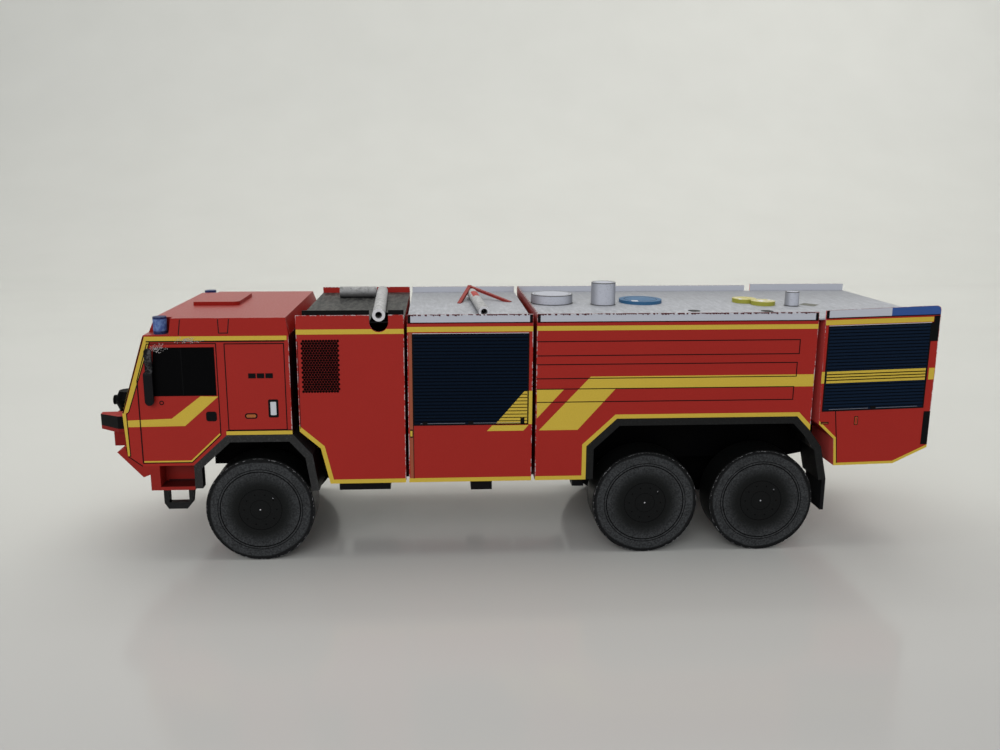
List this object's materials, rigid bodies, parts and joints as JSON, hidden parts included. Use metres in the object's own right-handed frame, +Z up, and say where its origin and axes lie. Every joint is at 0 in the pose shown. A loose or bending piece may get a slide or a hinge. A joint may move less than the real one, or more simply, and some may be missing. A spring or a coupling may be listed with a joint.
{
  "type": "card model airport fire truck",
  "caption": "Card model of an airport fire truck: folded red body boxes on a black chassis beam, grey roofs with rolled tubes and cans, drum wheels turning on rolled axles.",
  "frame": {"origin": "ground under the middle of the model's box", "axes": "+X forward along the truck, +Y to its left, +Z up"},
  "size_m": [0.192, 0.0496, 0.0606],
  "materials": {
    "red_card": "printed satin",
    "black_card": "printed satin",
    "grey_card": "printed matte",
    "blue_card": "printed satin",
    "yellow_card": "printed satin",
    "rolled_paper": "matte",
    "tyre_card": "printed matte",
    "axle_rod": "plain"
  },
  "bodies": {
    "truck": {"chassis_beam": "black_card", "front_axle_bearer": "black_card", "rear_axle_bearer": "black_card", "underbody_boxes": "black_card", "box_spacers": "black_card", "cab_shell": "red_card", "cab_roof": "red_card", "cab_hatch": "red_card", "beacons": "blue_card", "mirrors": "black_card", "front_bumper": "red_card", "bumper_turret": "black_card", "lower_valance": "red_card", "step_boxes": "red_card", "step_loops": "black_card", "front_wheel_well": "black_card", "front_fenders": "black_card", "engine_shell": "red_card", "engine_lid": "black_card", "exhaust_long_tube": "rolled_paper", "exhaust_cross_tube": "rolled_paper", "pump_shell": "red_card", "pump_roof": "grey_card", "roof_monitor": "rolled_paper", "monitor_handle": "red_card", "tank_shell": "red_card", "rear_shell": "red_card", "deck_roof": "grey_card", "filler_can": "grey_card", "vent_can": "grey_card", "round_hatch": "blue_card", "twin_hatches": "yellow_card", "small_vent": "grey_card", "rear_wheel_well": "black_card", "rear_fenders": "black_card", "mudflaps": "black_card"},
    "front_wheelset": {"front_axle": "axle_rod", "front_tyres": "tyre_card", "front_wheel_discs": "tyre_card"},
    "middle_wheelset": {"middle_axle": "axle_rod", "middle_tyres": "tyre_card", "middle_wheel_discs": "tyre_card"},
    "rear_wheelset": {"rear_axle": "axle_rod", "rear_tyres": "tyre_card", "rear_wheel_discs": "tyre_card"}
  },
  "joints": [
    {"name": "front_wheelset_spin", "type": "hinge", "parent": "truck", "child": "front_wheelset", "pos_m": [0.0571, 0, 0.01215], "axis": [0, 1, 0], "continuous": true},
    {"name": "middle_wheelset_spin", "type": "hinge", "parent": "truck", "child": "middle_wheelset", "pos_m": [-0.03065, 0, 0.01215], "axis": [0, 1, 0], "continuous": true},
    {"name": "rear_wheelset_spin", "type": "hinge", "parent": "truck", "child": "rear_wheelset", "pos_m": [-0.05795, 0, 0.01215], "axis": [0, 1, 0], "continuous": true}
  ]
}
